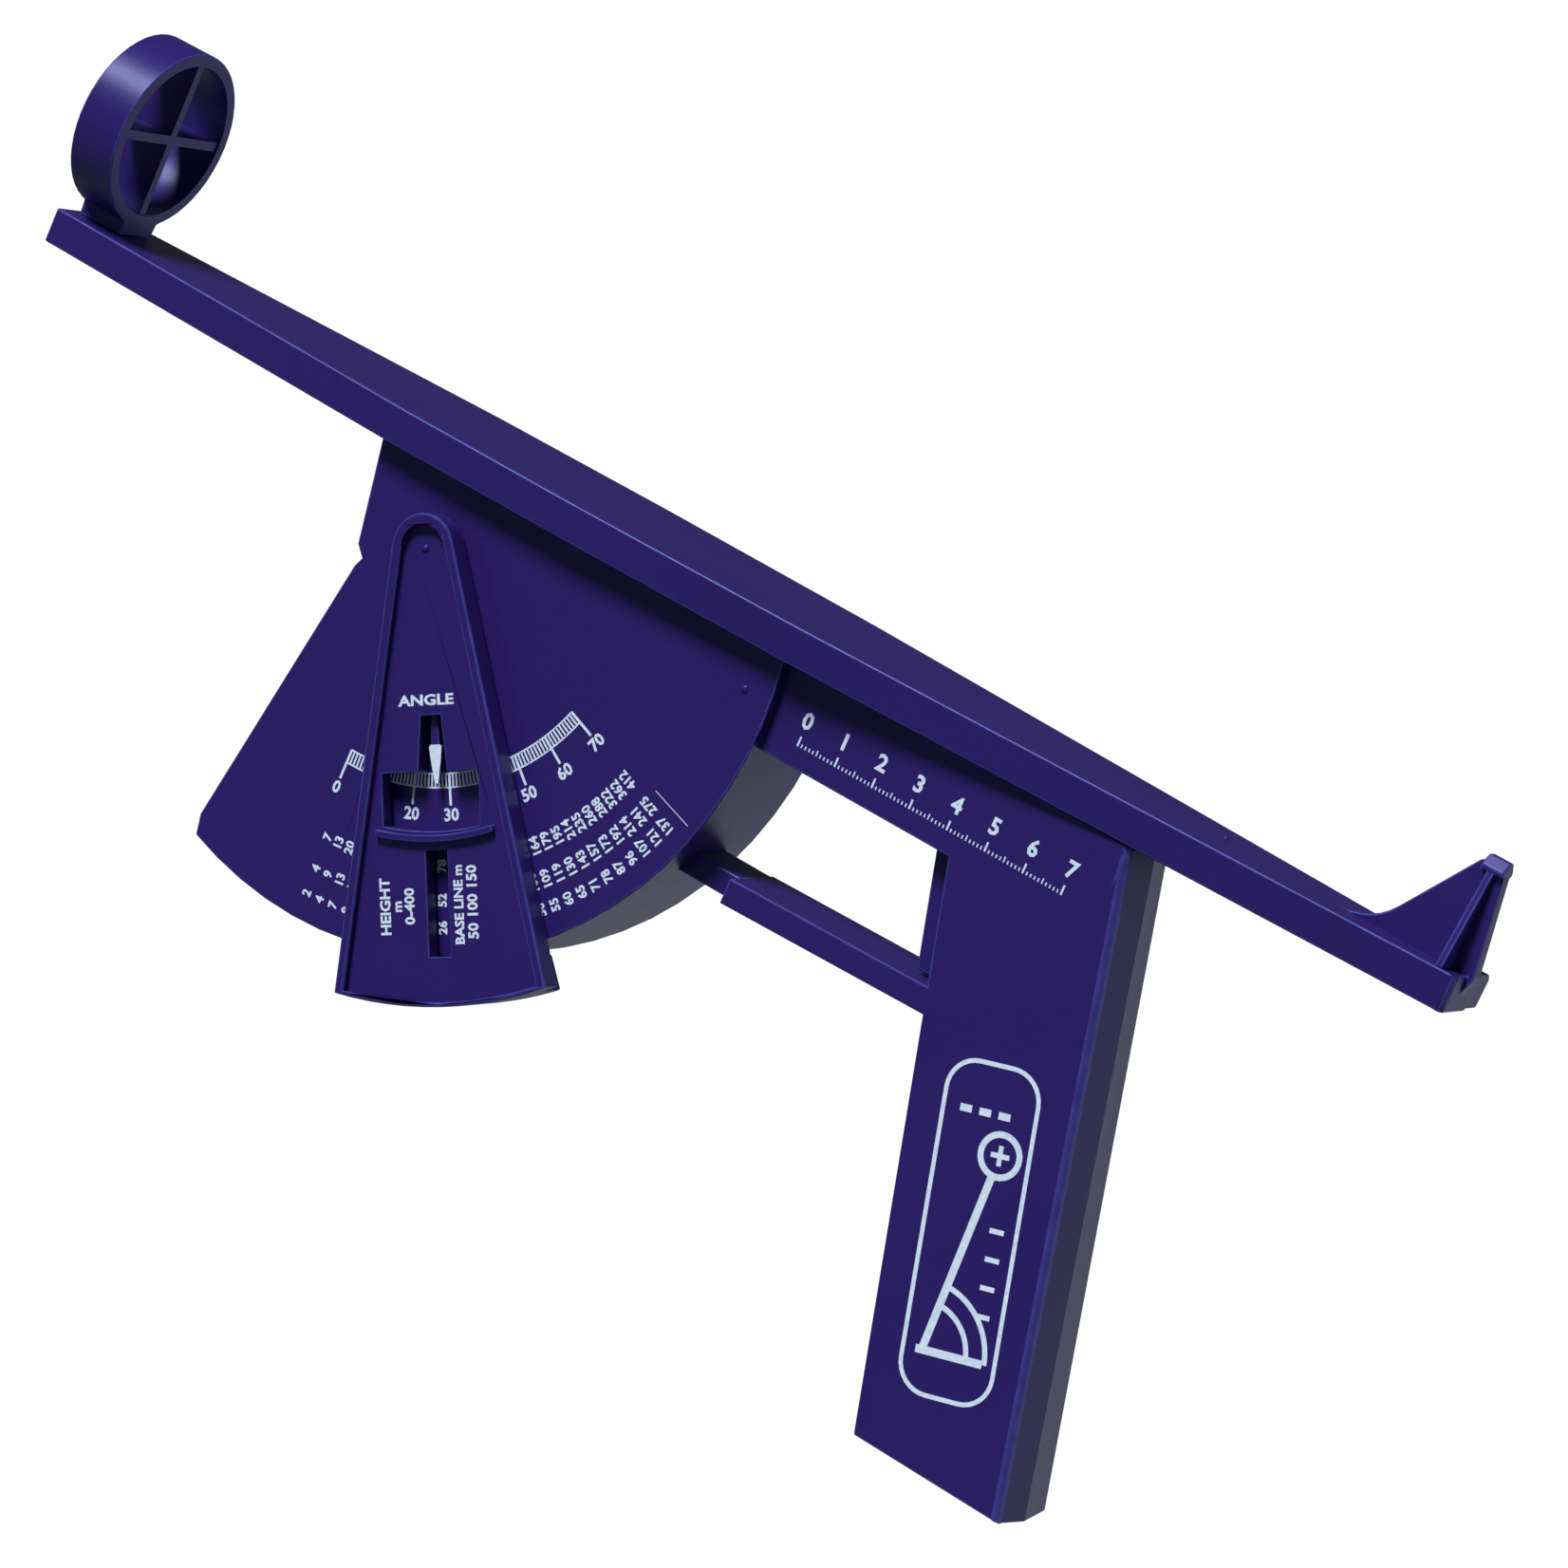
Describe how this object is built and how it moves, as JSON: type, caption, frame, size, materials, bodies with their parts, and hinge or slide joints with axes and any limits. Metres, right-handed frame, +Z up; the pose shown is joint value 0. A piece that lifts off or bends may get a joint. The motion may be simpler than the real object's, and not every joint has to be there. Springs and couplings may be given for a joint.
{
  "type": "pistol-grip inclinometer",
  "caption": "Hand-held angle finder with a sight bar, a crosshair ring and a braked pendulum over a dial, on a pistol grip with a trigger.",
  "frame": {"origin": "middle of the flat base face of the grip", "axes": "+X along the sight bar towards the user, +Z up, and the dial faces -Y"},
  "size_m": [0.3844, 0.0435, 0.1969],
  "materials": {
    "indigo_plastic": "deep indigo moulded plastic with a satin surface",
    "steel": "zinc plated steel",
    "acetal": "natural acetal",
    "black_plastic": "black nylon",
    "rubber": "soft black rubber"
  },
  "bodies": {
    "body": {"body_front_shell": "indigo_plastic", "body_rear_shell": "indigo_plastic", "sight_bar": "indigo_plastic", "front_sight_ring": "indigo_plastic", "pivot_bush": "acetal", "bar_screw_1": "steel", "bar_screw_2": "steel", "bar_screw_3": "steel", "case_screw_1": "steel", "case_screw_2": "steel", "case_screw_3": "steel", "case_screw_4": "steel", "case_screw_5": "steel", "case_screw_6": "steel", "case_screw_7": "steel", "case_screw_8": "steel"},
    "pendulum": {"pendulum_arm": "indigo_plastic", "pendulum_weight": "steel", "weight_cover": "indigo_plastic", "cover_screw_1": "steel", "cover_screw_2": "steel", "brake_drum": "black_plastic", "pendulum_washer": "steel", "pendulum_screw": "steel"},
    "trigger": {"trigger": "indigo_plastic", "brake_rod": "black_plastic", "brake_pad": "rubber", "trigger_pin": "steel", "return_spring": "steel"}
  },
  "joints": [
    {"name": "pendulum_swing", "type": "hinge", "parent": "body", "child": "pendulum", "pos_m": [-0.1965, -0.0153, 0.1258], "axis": [0, -1, 0], "range_deg": [-106, 41]},
    {"name": "trigger_pull", "type": "slide", "parent": "body", "child": "trigger", "axis": [1, 0, 0], "range_m": [0, 0.0045], "stiffness_N_per_m": 400, "springref_m": -0.004, "deforming": ["return_spring"]}
  ]
}
